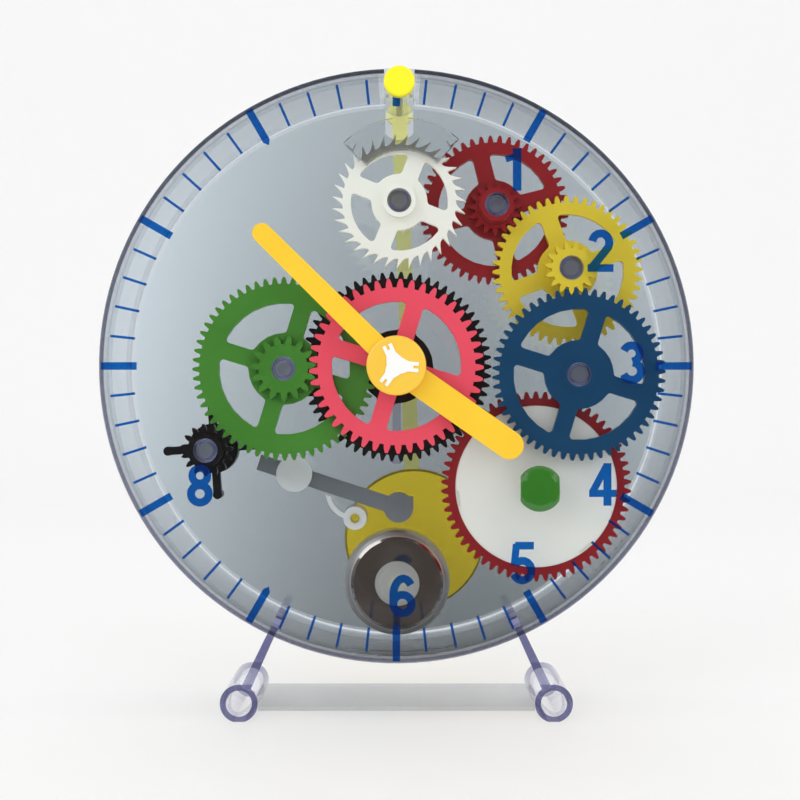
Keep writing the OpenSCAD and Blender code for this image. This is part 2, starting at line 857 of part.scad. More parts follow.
// Domed knob with two flats for finger and thumb
module winding_knob() {
    steps = 8;
    shank = 0.4 * knob_h;
    dome = knob_h - shank;
    color(green) difference() {
        intersection() {
            turned(barrel_at) polygon(concat(
                [[0, knob_back], [knob_r, knob_back]],
                [for (i = [0:steps]) let (a = 90 * i / steps)
                    [knob_r * cos(a), knob_back - shank - dome * sin(a)]]
            ));
            slab(knob_front - 1, 0) translate(barrel_at)
                square([knob_flats, 3 * knob_r], center = true);
        }
        bar(barrel_at, wind_r + press, knob_grip - 0.2, 1);
    }
}

module ratchet_wheel() {
    color(ivory) slab(ratchet_front, ratchet_front + ratchet_t) translate(barrel_at)
        difference() {
            saw_outline(ratchet_z, ratchet_r, ratchet_r - 1.6);
            circle(wind_r + press);
        }
}

// Springy finger whose tip drops behind the ratchet's teeth
click_pin_r = 1.5;
click_reach = 13;
function click_at() = toward(barrel_at, ratchet_r + 5.4, 205);

module click() {
    p = click_at();
    tip = toward(barrel_at, ratchet_r + 0.3, 150);
    way = bearing(p, tip);
    reach = norm(tip - p);
    color(grey) {
        difference() {
            union() {
                bar(p, 2.8, ratchet_front, ratchet_front + ratchet_t);
                slab(ratchet_front, ratchet_front + ratchet_t) translate(p) rotate(way)
                    polygon([[0, 0], [0, 2.6], [reach, 1.6], [reach, 0]]);
            }
            bar(p, click_pin_r - 0.4, ratchet_front - 1, ratchet_front + 1.2);
        }
        bar(p, click_pin_r, ratchet_front + ratchet_t, floor_at + 0.7);
    }
}

// ---- Anchor and pendulum ----

// Everything on the anchor's arbor leans together
module leaning() {
    translate([anchor_at.x, 0, hub_z + anchor_at.y]) rotate([0, -lean, 0])
        translate([-anchor_at.x, 0, -hub_z - anchor_at.y]) children();
}

module anchor() {
    // Rise of a pallet's tip over the swing, with the pallets on the tip circle
    lift = norm([escape_r * sin(pallet_at), anchor_rise - escape_r * cos(pallet_at)])
        * sin(swing);
    tip_r = escape_r + lift + pallet_gap;
    arm_in = escape_r - 5.4;
    arm_out = tip_r + 3.4;
    hub = swing_r + 1.2;
    stem = 5.2;
    color(clear) leaning() difference() {
        union() {
            // Arched plate in front of the escape wheel, and its stem
            slab(layer_at(1), layer_end(1)) {
                translate([anchor_at.x - stem / 2, escape_at.y + arm_out - 1])
                    square([stem, anchor_rise - arm_out + 1]);
                translate(escape_at) intersection() {
                    difference() {
                        circle(arm_out);
                        circle(arm_in);
                    }
                    polygon([[0, 0], toward([0, 0], 3 * arm_out, 90 + pallet_at + 3),
                        [0, 3 * arm_out], toward([0, 0], 3 * arm_out, 87 - pallet_at)]);
                }
            }
            // Pallets behind the plate, pointing at the tips of the wheel
            slab(layer_end(1), layer_end(2)) translate(escape_at)
                for (side = [-1, 1]) rotate(90 + side * pallet_at)
                    polygon([[tip_r, side * 0.6], [tip_r + 0.9, -side * 1.6],
                        [arm_out - 0.4, -side * 2], [arm_out - 0.4, side * 1]]);
            bar(anchor_at, hub, plate_t + 0.4, layer_at(4));
        }
        bar(anchor_at, swing_r + press, 0, case_depth);
    }
}

module anchor_arbor() {
    color(steel) bar(anchor_at, swing_r, arbor_top, rod_back);
}

module start_knob() {
    front = -3.4;
    back = -0.3;
    edge = 0.8;
    color([1, 0.97, 0.2]) difference() {
        turned(anchor_at) polygon([
            [0, front], [start_r - edge, front], [start_r - edge * 0.3, front + edge * 0.3],
            [start_r, front + edge], [start_r, back], [0, back]
        ]);
        bar(anchor_at, swing_r + press, arbor_top - 0.05, 1);
    }
}

module pendulum_rod() {
    color(yellow) leaning() difference() {
        slab(rod_front, rod_back) union() {
            translate(anchor_at) circle(4.6);
            translate([anchor_at.x - rod_w / 2, anchor_at.y - pendulum_l - 8])
                square([rod_w, pendulum_l + 8]);
        }
        bar(anchor_at, swing_r + press, 0, 2 * case_depth);
    }
}

// Disc that slides on the rod
module pendulum_bob() {
    p = [anchor_at.x, anchor_at.y - pendulum_l];
    edge = 0.8;
    color(yellow) leaning() difference() {
        turned(p) polygon([
            [0, bob_front], [bob_r - edge, bob_front], [bob_r, bob_front + edge],
            [bob_r, bob_back - edge], [bob_r - edge, bob_back], [0, bob_back]
        ]);
        slab(rod_front - seat, rod_back + seat)
            translate([anchor_at.x - rod_w / 2 - seat, p.y - 8 - seat])
            square([rod_w + 2 * seat, 2 * bob_r]);
    }
}

// ---- Striker ----

module star_wheel() {
    disc_r = 8.6;
    arm_w = 2.8;
    pin_end = lever_front - pin_short;
    color(black) difference() {
        union() {
            slab(layer_at(2), layer_end(2)) translate(star_at)
                pinion_outline(pinion_z, tooth_m, shift, star_pinion_turn);
            hub_tube(star_at, hub_front, star_front + star_t);
            bar(star_at, disc_r, star_front - 3, star_front + star_t);
            slab(star_front, star_front + star_t) translate(star_at)
                for (k = [0:3]) rotate(3.8 + 90 * k)
                    translate([0, -arm_w / 2]) square([pin_at_r, arm_w]);
            for (k = [0:3])
                bar(toward(star_at, pin_at_r, 3.8 + 90 * k), pin_r, star_front, pin_end);
        }
        hub_bore(star_at);
    }
}

module hammer_lever() {
    tail = 13.2;
    boss_r = 4.2;
    head_t = lever_t + 3.4;
    arm_l = norm(head_at - lever_at);
    way = bearing(lever_at, head_at);
    color(grey) difference() {
        union() {
            slab(lever_front, lever_back) translate(lever_at) {
                circle(boss_r);
                rotate(way) translate([0, -lever_w / 2]) square([arm_l, lever_w]);
                rotate(lever_slope) translate([-tail, -lever_w / 2]) square([tail, lever_w]);
            }
            // Head: a stubby drum hanging over the bell's rim
            slab(lever_front, lever_front + head_t) translate(head_at) {
                circle(head_r);
                translate([-head_r, 0]) square([2 * head_r, 0.7 * head_r]);
            }
        }
        bar(lever_at, lever_pin_r + run_play, 0, case_depth);
    }
}

module hammer_pin() {
    shoulder = lever_back + 0.3;
    color(clear) {
        bar(lever_at, lever_pin_r, lever_front - 1.2, floor_at);
        bar(lever_at, 3.4, shoulder, floor_at - 2.4 - seat);
    }
}

module hammer_washer() {
    color([0.92, 0.94, 0.93]) difference() {
        bar(lever_at, 6.3, lever_front - 1.3, lever_front - 0.2);
        bar(lever_at, lever_pin_r + press, 0, case_depth);
    }
}

// Curved plastic finger that presses up under the lever
module return_spring() {
    bend_r = 9.6;
    finger_w = 1.6;
    eye_r = 4.1;
    centre = [peg_at.x, peg_at.y + bend_r];
    under = 1;
    fall = tan(lever_slope);
    // Height of the finger's end, under the lever, from the bend's centre
    end_y = lever_at.y + (centre.x - bend_r - lever_at.x) * fall
        - lever_w / 2 / cos(lever_slope) - under - centre.y;
    color([0.93, 0.95, 0.95]) slab(lever_front + 0.2, lever_back - 0.2) difference() {
        union() {
            translate(peg_at) circle(eye_r);
            translate(centre) intersection() {
                difference() {
                    circle(bend_r + finger_w / 2);
                    circle(bend_r - finger_w / 2);
                }
                polygon([[-2 * bend_r, end_y - bend_r * fall], [0, end_y + bend_r * fall],
                    [0, -2 * bend_r], [-2 * bend_r, -2 * bend_r]]);
            }
        }
        translate(peg_at) circle(peg_r + press);
    }
}

module spring_peg() {
    color(clear) {
        bar(peg_at, peg_r, lever_front - 0.6, floor_at);
        bar(peg_at, 2.6, lever_back, floor_at - 2.4 - seat);
    }
}

module bell() {
    hole_r = bell_post_r + 0.3;
    bend = 2.4;
    crown = 1.6;
    color(steel) turned(bell_at) polygon([
        [hole_r, bell_front], [bell_r - bend - 1, bell_front],
        [bell_r - 1.2, bell_front + crown * 0.6], [bell_r - 0.3, bell_front + bend],
        [bell_r, bell_front + bell_h], [bell_r - bell_t, bell_front + bell_h],
        [bell_r - bell_t - 0.3, bell_front + bend + 0.5],
        [bell_r - bend - 1.2, bell_front + bell_t], [hole_r, bell_front + bell_t]
    ]);
}

module bell_post() {
    color(clear) {
        bar(bell_at, bell_post_r, bell_front - 1, floor_at);
        bar(bell_at, 4.4, bell_front + bell_t + seat, floor_at - 2.4 - seat);
    }
}

module bell_cap() {
    color(clear) difference() {
        turned(bell_at) polygon([
            [0, bell_front - 2.6], [5.6, bell_front - 2.6], [6.4, bell_front - 2.2],
            [7.8, bell_front - 0.9], [7.8, bell_front - seat], [0, bell_front - seat]
        ]);
        bar(bell_at, bell_post_r + press, bell_front - 1.05, bell_front + 1);
    }
}

front_plate();
case_band();
back_plate();
top_bracket();
left_foot();
right_foot();
foot_bar();
minute_wheel();
centre_arbor();
minute_hand();
hand_collar();
hub_cap();
hour_wheel();
hour_hand();
green_wheel();
star_wheel();
blue_wheel();
yellow_wheel();
red_wheel();
escape_wheel();
barrel_gear();
barrel_drum();
barrel_cover();
mainspring();
winding_arbor();
winding_knob();
ratchet_wheel();
click();
anchor();
anchor_arbor();
start_knob();
pendulum_rod();
pendulum_bob();
hammer_lever();
hammer_pin();
hammer_washer();
return_spring();
spring_peg();
bell();
bell_post();
bell_cap();
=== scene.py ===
import math

import bpy
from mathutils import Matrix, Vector, geometry


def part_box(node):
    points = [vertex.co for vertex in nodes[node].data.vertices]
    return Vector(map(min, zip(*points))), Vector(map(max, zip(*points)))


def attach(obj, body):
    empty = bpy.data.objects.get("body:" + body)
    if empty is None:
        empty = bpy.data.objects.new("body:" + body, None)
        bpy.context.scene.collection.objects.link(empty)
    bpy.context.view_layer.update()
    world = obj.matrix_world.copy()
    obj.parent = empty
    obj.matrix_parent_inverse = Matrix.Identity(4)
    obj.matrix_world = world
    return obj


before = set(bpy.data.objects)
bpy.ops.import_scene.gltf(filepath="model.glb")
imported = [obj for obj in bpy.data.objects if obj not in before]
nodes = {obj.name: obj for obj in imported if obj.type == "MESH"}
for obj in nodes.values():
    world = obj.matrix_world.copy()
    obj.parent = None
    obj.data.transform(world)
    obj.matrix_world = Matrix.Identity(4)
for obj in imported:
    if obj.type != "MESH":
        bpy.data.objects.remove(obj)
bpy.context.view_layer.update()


# ---- Back plate ----
# Clear styrene disc with the posts that carry the wheels, moulded in one shot.
# Its grey cast is painted shade, deeper towards the bottom; its rim stays
# bright, a painted highlight; and the frosted ends of the posts take a lilac tone.
MM = 0.001
DIAL_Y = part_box("front_plate")[0].y
HUB_Z = 117.2 * MM
RIM_R = 98 * MM
BACK_RIM_FROM = 94.7 * MM
POSTS_WITHIN = 90 * MM
POST_ENDS_BEFORE = DIAL_Y + 39.5 * MM
SOFT_EDGE = 0.1 * MM
FACE_ON_MIRROR = 0.04
EDGE_ON_POWER = 5.0
# The grey of the back plate and the wall, deepest at the foot, is painted shade.
PAINTED_SHADE_MIDDLE = 0.282
PAINTED_SHADE_SIDES = 0.223
PAINTED_SHADE_LEAN = -0.096
PAINTED_SHADE_HEIGHT = 0.112
PAINTED_SHADE_LEAST = 0.1
WHITE = (1, 1, 1, 1)


def tone(r, g, b):
    """A colour given as it looks, 0 to 255, in the linear values of a shader."""
    parts = [c / 255 for c in (r, g, b)]
    return [p / 12.92 if p <= 0.04 else ((p + 0.055) / 1.055) ** 2.4 for p in parts] + [1.0]


def add(tree, kind, values=None, links=None, **settings):
    """A shader node with its settings, constants and incoming links."""
    made = tree.nodes.new("ShaderNode" + kind)
    for name, value in settings.items():
        setattr(made, name, value)
    for name, value in (values or {}).items():
        made.inputs[name].default_value = value
    for name, source in (links or {}).items():
        tree.links.new(source, made.inputs[name])
    return made


def fresh(name):
    """An empty material and its tree."""
    material = bpy.data.materials.new(name)
    material.use_nodes = True
    material.node_tree.nodes.clear()
    return material, material.node_tree


def close(tree, shader):
    """Sends the last shader to the surface."""
    add(tree, "OutputMaterial", links={"Surface": shader})


def math_of(tree, operation, first, second=0.0):
    """The sum, product or power of two numbers or sockets."""
    made = add(tree, "Math", operation=operation)
    for place, value in enumerate((first, second)):
        if isinstance(value, (int, float)):
            made.inputs[place].default_value = value
        else:
            tree.links.new(value, made.inputs[place])
    return made.outputs[0]


def step(tree, value, low, high, at_low=0.0, at_high=1.0):
    """A value that runs from one number to another between two limits."""
    made = add(tree, "MapRange", {"From Min": low, "From Max": high}, {"Value": value})
    made.inputs["To Min"].default_value = at_low
    made.inputs["To Max"].default_value = at_high
    return made.outputs["Result"]


def place_of(tree):
    """The three coordinates of the point, which travel with the piece."""
    where = add(tree, "TexCoord")
    split = add(tree, "SeparateXYZ", links={"Vector": where.outputs["Object"]})
    return where, split.outputs


def out_from(tree, where, x, z):
    """The distance from an axis that runs from front to back."""
    away = add(tree, "VectorMath", links={0: where.outputs["Object"]}, operation="SUBTRACT")
    away.inputs[1].default_value = (x, 0, z)
    flat = add(tree, "VectorMath", links={0: away.outputs["Vector"]}, operation="MULTIPLY")
    flat.inputs[1].default_value = (1, 0, 1)
    return add(tree, "VectorMath", links={0: flat.outputs["Vector"]}, operation="LENGTH").outputs["Value"]


def end_faces(tree, where, axis="Y"):
    """1 on the faces square to an axis, front to back if not said, else 0."""
    split = add(tree, "SeparateXYZ", links={"Vector": where.outputs["Normal"]})
    return step(tree, math_of(tree, "ABSOLUTE", split.outputs[axis]), 0.85, 0.95)


def blend(tree, share, first, second):
    """A colour between two, each a constant or a socket."""
    made = add(tree, "Mix", links={0: share}, data_type="RGBA")
    for place, value in ((6, first), (7, second)):
        if isinstance(value, (list, tuple)):
            made.inputs[place].default_value = value
        else:
            tree.links.new(value, made.inputs[place])
    return made.outputs[2]


def polished(tree, tint, rough=0.03, most=1.0):
    """Clear plastic with polished faces: a tinted view straight through, and
    the mirrored share that grows as the face is seen edge-on. The light that
    falls on the pieces inside isn't tinted."""
    path = add(tree, "LightPath").outputs
    lighting = math_of(tree, "MAXIMUM", path["Is Shadow Ray"], path["Is Diffuse Ray"])
    through = add(tree, "BsdfTransparent", links={"Color": blend(tree, lighting, tint, WHITE)})
    shine = add(tree, "BsdfPrincipled", {"Base Color": WHITE, "Metallic": 1.0, "Roughness": rough})
    facing = add(tree, "LayerWeight", {"Blend": 0.5}).outputs["Facing"]
    edge_on = math_of(tree, "POWER", facing, EDGE_ON_POWER)
    share = step(tree, edge_on, 0, 1, FACE_ON_MIRROR, most)
    mixed = add(tree, "MixShader", links={0: share, 1: through.outputs[0], 2: shine.outputs[0]})
    return mixed.outputs[0]


def painted_shade_share(tree, split):
    """The share of light one face lets through, the root of a whole plate's, as
    painted shade: more at the sides, a little more at the left, least at the foot."""
    across = math_of(tree, "MULTIPLY", split["X"], 1 / RIM_R)
    up = math_of(tree, "SUBTRACT", split["Z"], HUB_Z)
    height = math_of(tree, "MULTIPLY", up, PAINTED_SHADE_HEIGHT / RIM_R)
    square = math_of(tree, "POWER", math_of(tree, "ABSOLUTE", across), 2.0)
    sides = math_of(tree, "MULTIPLY", square, PAINTED_SHADE_SIDES)
    lean = math_of(tree, "MULTIPLY", across, PAINTED_SHADE_LEAN)
    level = math_of(tree, "ADD", height, PAINTED_SHADE_MIDDLE)
    total = math_of(tree, "ADD", math_of(tree, "ADD", sides, lean), level)
    return math_of(tree, "POWER", math_of(tree, "MAXIMUM", total, PAINTED_SHADE_LEAST), 0.5)


def painted_shade_tint(tree, split, cast):
    """The tint of one face, from the painted shade and the plastic's own cast."""
    made = add(tree, "VectorMath", {0: cast}, operation="SCALE")
    tree.links.new(painted_shade_share(tree, split), made.inputs["Scale"])
    return made.outputs["Vector"]


def dress(node, material):
    """Puts a material on a piece of the frame."""
    nodes[node].data.materials.clear()
    nodes[node].data.materials.append(material)


def back_plate_plastic():
    """Clear plastic greyed by painted shade inside a rim with a painted highlight, with the frosted ends
    of the posts.
    """
    material, tree = fresh("back_plate_clear_painted_shade")
    where, split = place_of(tree)
    radius = out_from(tree, where, 0, HUB_Z)
    # Painted shade over the plate, and a lighter rim that is a painted highlight.
    painted_light_rim = step(tree, radius, BACK_RIM_FROM, BACK_RIM_FROM + 2 * SOFT_EDGE)
    tint = blend(tree, painted_light_rim, painted_shade_tint(tree, split, (1.118, 1.183, 1.215)), (0.9, 0.92, 0.94, 1))
    clear = polished(tree, tint)
    frost = add(tree, "BsdfPrincipled", {"Base Color": tone(140, 140, 178), "Roughness": 0.25})
    front = step(tree, split["Y"], POST_ENDS_BEFORE + SOFT_EDGE, POST_ENDS_BEFORE - SOFT_EDGE)
    inside = step(tree, radius, POSTS_WITHIN + 2 * SOFT_EDGE, POSTS_WITHIN)
    posts = math_of(tree, "MULTIPLY", front, inside)
    frosted = math_of(tree, "MULTIPLY", end_faces(tree, where), posts)
    share = math_of(tree, "MULTIPLY", frosted, 0.5)
    mixed = add(tree, "MixShader", links={0: share, 1: clear, 2: frost.outputs[0]})
    close(tree, mixed.outputs[0])
    return material


dress("back_plate", back_plate_plastic())


# ---- Spring barrel ----
# Dark red toothed ring snapped round an ivory drum with its own cover. The
# steel mainspring and arbor sit inside, and the ratchet and click lie behind.
def moulded(name, colour, rough=0.35, drift=0.05, coat=0.0):
    """Injection-moulded plastic: the colour drifts a little with the flow of
    the melt, the gloss is uneven and the skin has a faint ripple."""
    material, tree = fresh(name)
    where = add(tree, "TexCoord")
    flow = add(tree, "TexNoise", {"Scale": 60, "Detail": 3}, {"Vector": where.outputs["Object"]})
    tint = blend(
        tree,
        step(tree, flow.outputs["Fac"], 0.3, 0.7),
        [c * (1 - drift) for c in colour[:3]] + [1],
        [min(1, c * (1 + drift)) for c in colour[:3]] + [1],
    )
    skin = add(tree, "TexNoise", {"Scale": 900}, {"Vector": where.outputs["Object"]})
    ripple = add(tree, "Bump", {"Strength": 0.04, "Distance": 0.0002}, {"Height": skin.outputs["Fac"]})
    skin_shine = {"Specular IOR Level": 0.3, "Coat Weight": coat, "Coat Roughness": 0.08}
    plastic = add(tree, "BsdfPrincipled", skin_shine)
    gloss = step(tree, flow.outputs["Fac"], 0, 1, rough * 0.8, rough * 1.25)
    tree.links.new(tint, plastic.inputs["Base Color"])
    tree.links.new(gloss, plastic.inputs["Roughness"])
    tree.links.new(ripple.outputs["Normal"], plastic.inputs["Normal"])
    close(tree, plastic.outputs[0])
    return material


def base_of(tree):
    """The main shader of a material, to be finished further."""
    return next(n for n in tree.nodes if n.type == "BSDF_PRINCIPLED")


def metal(name, colour, rough, grain=300):
    """Turned metal with a fine, uneven gloss."""
    material, tree = fresh(name)
    where = add(tree, "TexCoord")
    cut = add(tree, "TexNoise", {"Scale": grain, "Detail": 2}, {"Vector": where.outputs["Object"]})
    gloss = step(tree, cut.outputs["Fac"], 0.2, 0.8, rough * 0.7, rough * 1.3)
    surface = add(tree, "BsdfPrincipled", {"Base Color": colour, "Metallic": 1.0})
    tree.links.new(gloss, surface.inputs["Roughness"])
    close(tree, surface.outputs[0])
    return material


steel = metal("arbor_steel", tone(196, 196, 200), 0.25)
drum_ivory = moulded("drum_ivory", tone(240, 241, 232), 0.4, 0.02)
lever_grey = moulded("lever_grey", tone(116, 122, 128), 0.5, 0.07)
dress("barrel_gear", moulded("ring_red", tone(146, 18, 28), 0.34, 0.07))
for node in ("barrel_drum", "barrel_cover", "ratchet_wheel"):
    dress(node, drum_ivory)
for node in ("mainspring", "winding_arbor"):
    dress(node, steel)
dress("click", lever_grey)


# ---- Going train ----
# Blue, yellow and red wheels and the ivory escape wheel, each moulded with its
# pinion and hub tube, and each loose on its own post.
dress("blue_wheel", moulded("wheel_blue", tone(0, 68, 108), 0.3, 0.07))
dress("yellow_wheel", moulded("wheel_yellow", tone(226, 202, 48), 0.36, 0.05))
dress("red_wheel", moulded("wheel_red", tone(152, 22, 30), 0.34, 0.07))
dress("escape_wheel", moulded("wheel_ivory", tone(250, 251, 240), 0.4, 0.02))


# ---- Anchor and its arbor ----
# Crystal-clear anchor pressed on a steel arbor, with a bright yellow knob in
# front that a finger turns to start the pendulum.
def crystal(name, colour, rough=0.02):
    """Thick water-clear plastic that bends what is seen through it."""
    material, tree = fresh(name)
    where = add(tree, "TexCoord")
    flow = add(tree, "TexNoise", {"Scale": 120}, {"Vector": where.outputs["Object"]})
    glass = add(tree, "BsdfPrincipled", {"Base Color": colour, "Transmission Weight": 1.0, "IOR": 1.49})
    gloss = step(tree, flow.outputs["Fac"], 0.3, 0.7, rough, rough * 2)
    tree.links.new(gloss, glass.inputs["Roughness"])
    close(tree, glass.outputs[0])
    return material


crystal_clear = crystal("anchor_crystal", (0.97, 0.98, 0.98, 1))
dress("anchor", crystal_clear)
dress("anchor_arbor", steel)
dress("start_knob", moulded("knob_yellow", tone(255, 247, 40), 0.25, 0.01, 0.4))


# ---- Pendulum ----
# Flat rod and round bob of olive-yellow plastic, hung outside the case behind
# the back plate.
def painted_glow_front(material, colour, strength):
    """Makes the faces that look forward glow, a painted light, so that they read
    through the plate's painted shade as brightly as in the photograph."""
    tree = material.node_tree
    plastic = base_of(tree)
    split = add(tree, "SeparateXYZ", links={"Vector": add(tree, "TexCoord").outputs["Normal"]})
    painted_glow = step(tree, split.outputs["Y"], -0.8, -0.95, 0, strength)
    plastic.inputs["Emission Color"].default_value = colour
    tree.links.new(painted_glow, plastic.inputs["Emission Strength"])
    return material


OLIVE = (0.8, 0.75, 0.28, 1)
GOLDEN = (0.95, 0.69, 0.04, 1)
# Rod and bob glow on their forward faces: painted light.
dress("pendulum_rod", painted_glow_front(moulded("rod_olive", OLIVE, 0.36), OLIVE, 0.9))
dress("pendulum_bob", painted_glow_front(moulded("bob_yellow", GOLDEN, 0.36, 0.03), GOLDEN, 1.3))


# ---- Striker ----
# Black star wheel with four pins, grey hammer lever held by a milky washer,
# white return finger on its peg, and a polished bell behind a clouded cap.
BELL_AT = (0.2 * MM, 41.6 * MM)
BELL_LIP_R = 16.2 * MM
BELL_GLARE_RING_W = 0.4 * MM
NICKEL = (0.75, 0.68, 0.62, 1)


def clouded(name, colour, clear):
    """Thin milky plastic: part of the view behind shows through."""
    material = moulded(name, colour, 0.22, 0.02)
    tree = material.node_tree
    plastic = base_of(tree)
    output = next(n for n in tree.nodes if n.type == "OUTPUT_MATERIAL")
    view = add(tree, "BsdfTransparent", {"Color": (0.95, 0.96, 0.97, 1)})
    mixed = add(tree, "MixShader", {0: clear}, {1: plastic.outputs[0], 2: view.outputs[0]})
    tree.links.new(mixed.outputs[0], output.inputs["Surface"])
    return material


def bell_polish():
    """Polished face in which the dark room shows, a painted highlight in a thin
    white ring round it, and a satin silver lip."""
    material = metal("bell_polish", NICKEL, 0.08, 90)
    tree = material.node_tree
    surface = base_of(tree)
    face_gloss = surface.inputs["Roughness"].links[0].from_socket
    away = out_from(tree, add(tree, "TexCoord"), *BELL_AT)
    lip = step(tree, away, BELL_LIP_R, BELL_LIP_R + 2 * SOFT_EDGE)
    # A thin white band where the lip starts is a painted highlight; past it the lip is satin silver.
    glare_ring_end = BELL_LIP_R + BELL_GLARE_RING_W
    past = step(tree, away, glare_ring_end, glare_ring_end + 2 * SOFT_EDGE)
    glare_and_silver = blend(tree, past, WHITE, (0.66, 0.64, 0.62, 1))
    gloss = add(tree, "Mix", {3: 0.42}, {0: lip, 2: face_gloss})
    tree.links.new(blend(tree, lip, NICKEL, glare_and_silver), surface.inputs["Base Color"])
    tree.links.new(gloss.outputs[0], surface.inputs["Roughness"])
    return material


milky = clouded("washer_milky", tone(238, 242, 243), 0.3)
dress("star_wheel", moulded("star_black", tone(22, 23, 27), 0.34, 0.12))
dress("hammer_lever", lever_grey)
for node in ("hammer_pin", "hammer_washer", "return_spring"):
    dress(node, milky)
for node in ("spring_peg", "bell_post"):
    dress(node, crystal_clear)
dress("bell", bell_polish())
dress("bell_cap", clouded("cap_clouded", tone(206, 208, 203), 0.55))


# ---- Motion work ----
# Black centre wheel on the steel centre arbor, green intermediate wheel, and
# pink hour wheel whose pipe comes out through the dial.
dress("minute_wheel", moulded("wheel_black", tone(24, 24, 27), 0.38, 0.12))
dress("centre_arbor", steel)
dress("green_wheel", moulded("wheel_green", tone(70, 140, 44), 0.36, 0.07))
dress("hour_wheel", moulded("wheel_pink", tone(255, 84, 106), 0.38, 0.04))


# ---- Case wall ----
# Clear tube between the two plates, which seat on its cut ends. Its sides carry
# about the same painted shade as the back plate, and it is slightly duller than the flat parts.
def wall_plastic():
    """Clear sides greyed by painted shade and pale cut ends, less mirror-like than the plates."""
    material, tree = fresh("wall_clear_painted_shade")
    where, split = place_of(tree)
    # The grey of the sides is painted shade, as on the back plate.
    side = painted_shade_tint(tree, split, (1.1, 1.14, 1.17))
    tint = blend(tree, end_faces(tree, where), side, (0.93, 0.94, 0.95, 1))
    close(tree, polished(tree, tint, 0.12, 0.4))
    return material


dress("case_band", wall_plastic())


# ---- Dial plate ----
# Polished clear disc, almost unseen face-on. Its lip shows as a thin line of
# painted shade near the rim, and the rim itself carries painted shade: dark where
# the wall is seen along its depth and lilac at the bottom. The ends of its short
# posts are lilac rings.
DIAL_LIP_FROM = 94.6 * MM
PAINTED_SHADE_RIM_FROM = 96.3 * MM
POST_ENDS_PAST = DIAL_Y + 5 * MM
FRONT_FACE = DIAL_Y + 0.5 * MM
# Colours of the rim's painted shade, at the top and at the foot.
PAINTED_SHADE_RIM_TOP = (0.1, 0.11, 0.14, 1)
PAINTED_SHADE_RIM_FOOT = (0.45, 0.45, 0.56, 1)


def dial_plastic():
    """Water-clear plate with its lip and its rim in painted shade, and the ends of its posts."""
    material, tree = fresh("dial_clear")
    where, split = place_of(tree)
    radius = out_from(tree, where, 0, HUB_Z)
    # Past the lip's radius the plate is tinted darker: painted shade.
    lip = step(tree, radius, DIAL_LIP_FROM, DIAL_LIP_FROM + 2 * SOFT_EDGE)
    plain = blend(tree, lip, (0.97, 0.98, 0.99, 1), (0.84, 0.85, 0.87, 1))
    deep = step(tree, split["Y"], POST_ENDS_PAST - SOFT_EDGE, POST_ENDS_PAST + SOFT_EDGE)
    post_end = math_of(tree, "MULTIPLY", end_faces(tree, where), deep)
    body = blend(tree, post_end, plain, (0.5, 0.5, 0.75, 1))
    face = step(tree, split["Y"], FRONT_FACE + SOFT_EDGE, FRONT_FACE)
    # On the front face outside this radius: painted shade, dark at the top and lilac at the foot.
    outside = step(tree, radius, PAINTED_SHADE_RIM_FROM, PAINTED_SHADE_RIM_FROM + 3 * SOFT_EDGE)
    painted_light_rim = math_of(tree, "MULTIPLY", face, outside)
    up = step(tree, split["Z"], HUB_Z - RIM_R, HUB_Z + RIM_R)
    edge = blend(tree, up, PAINTED_SHADE_RIM_FOOT, PAINTED_SHADE_RIM_TOP)
    close(tree, polished(tree, blend(tree, painted_light_rim, body, edge)))
    return material


dress("front_plate", dial_plastic())


# ---- Print on the dial ----
# Minute marks, hour marks and the dial's seven figures, screen-printed in one
# translucent blue ink. A mark has its start and end from the hub and its width,
# in mm, and a figure the place of its middle, across and up from the hub.
INK_LIFT = 0.03 * MM
MINUTE_MARK = (86.5, 94.7, 0.85)
HOUR_MARK = (85.5, 97.3, 2.5)
POINTED_HOURS = (7, 11)
POINT_L = 1.6
FIGURE_H = 14
FIGURE_AT = {
    "1": (38.8, 64.7),
    "2": (67.3, 38.0),
    "3": (77.6, 1.1),
    "4": (68.1, -39.0),
    "5": (41.5, -64.9),
    "6": (2.0, -75.7),
    "8": (-64.7, -39.3),
}
ROUND_STEPS = 28


def blue_ink():
    """About half solid blue, and the rest a film that the view shows through."""
    material, tree = fresh("print_blue")
    where = add(tree, "TexCoord")
    cover = add(tree, "TexNoise", {"Scale": 400, "Detail": 3}, {"Vector": where.outputs["Object"]})
    dried = {"Base Color": (0.0, 0.03, 0.21, 1), "Roughness": 0.35, "Specular IOR Level": 0.25}
    ink = add(tree, "BsdfPrincipled", dried)
    film = add(tree, "BsdfTransparent", {"Color": (0.01, 0.27, 0.86, 1)})
    share = step(tree, cover.outputs["Fac"], 0.3, 0.7, 0.46, 0.54)
    mixed = add(tree, "MixShader", links={0: share, 1: ink.outputs[0], 2: film.outputs[0]})
    close(tree, mixed.outputs[0])
    return material


def printed(name, shapes, material):
    """One layer of ink: outlines in mm from the hub, with overlaps joined and
    the eyes of the figures left open."""
    verts, faces = [], []
    for points, rings in shapes:
        joined = geometry.delaunay_2d_cdt([Vector(p) for p in points], [], rings, 0, 1e-5)
        first = len(verts)
        verts += [(p.x * MM, DIAL_Y - INK_LIFT, HUB_Z + p.y * MM) for p in joined[0]]
        inked = [face for face, source in zip(joined[2], joined[5]) if source]
        faces += [[first + i for i in reversed(face)] for face in inked]
    mesh = bpy.data.meshes.new(name)
    mesh.from_pydata(verts, [], faces)
    mesh.update()
    piece = bpy.data.objects.new(name, mesh)
    bpy.context.scene.collection.objects.link(piece)
    piece.data.materials.append(material)
    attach(piece, "case")


